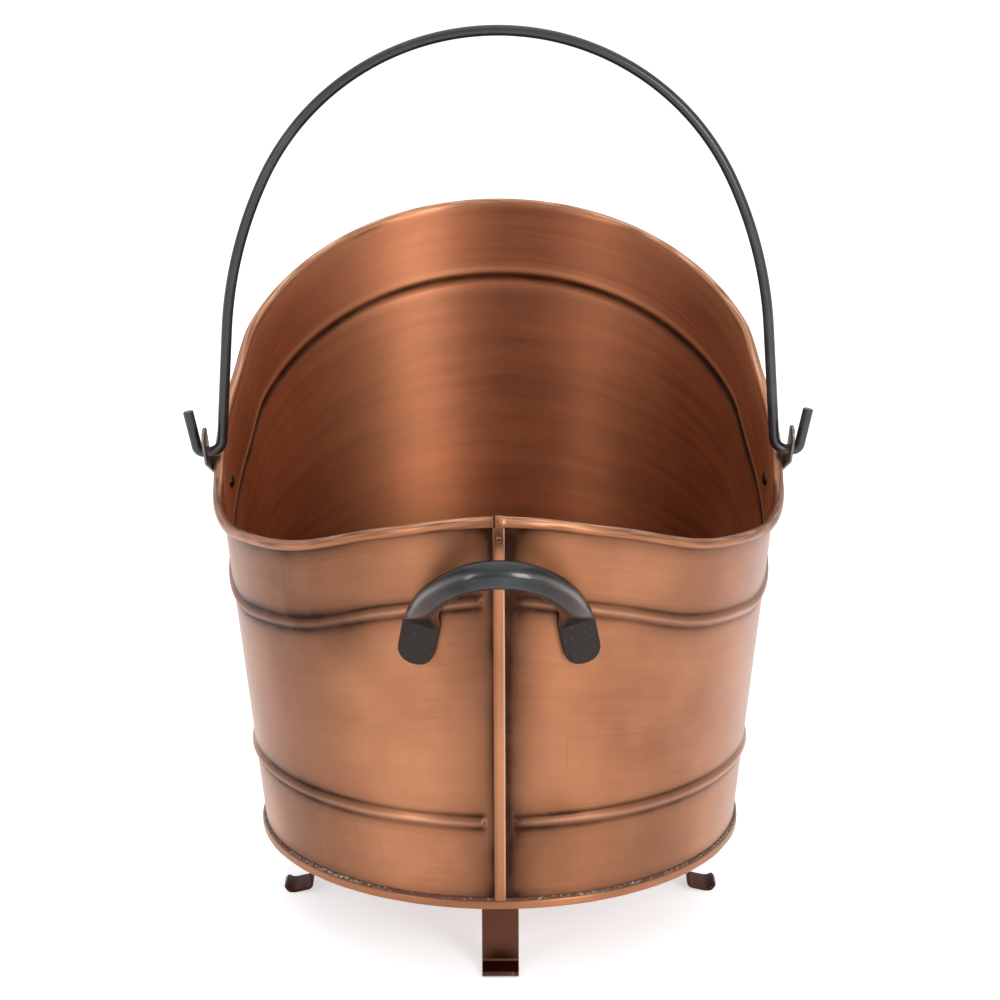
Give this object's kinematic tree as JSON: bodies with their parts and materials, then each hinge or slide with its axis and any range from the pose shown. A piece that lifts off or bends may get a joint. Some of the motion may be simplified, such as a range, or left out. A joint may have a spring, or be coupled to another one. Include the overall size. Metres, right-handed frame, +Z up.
{
  "type": "log bucket",
  "caption": "Flared sheet-copper log bucket with a scooped back, rolled rim, beads, a swinging wire bail, a forged tipping handle and bent strap feet.",
  "frame": {"origin": "on the floor under the middle of the round base", "axes": "+Z up, -Y the front with the seam and the tipping handle, +X to the right seen from the front, the bail's axis along X"},
  "size_m": [0.3682, 0.3801, 0.5178],
  "materials": {
    "copper": "antique copper, brushed round the bucket, with dark patina along beads and seams",
    "dark_copper": "dark brown aged copper, satin",
    "steel": "plain grey steel, satin",
    "dark_iron": "dark charcoal, satin",
    "gunmetal": "blue-black gunmetal, satin"
  },
  "bodies": {
    "bucket": {"body_wall": "copper", "rim_wire": "steel", "seam_strip": "copper", "base_pan": "copper", "foot_front": "dark_copper", "foot_right": "dark_copper", "foot_rear": "dark_copper", "foot_left": "dark_copper", "foot_rivets": "dark_copper", "ear_left": "steel", "ear_right": "steel", "ear_rivets": "steel", "tipping_handle": "gunmetal", "handle_screws": "steel"},
    "bail": {"bail": "dark_iron"}
  },
  "joints": [
    {"name": "bail_swing", "type": "hinge", "parent": "bucket", "child": "bail", "pos_m": [0, 0.01166, 0.27039], "axis": [1, 0, 0], "range_deg": [-48, 106]}
  ]
}
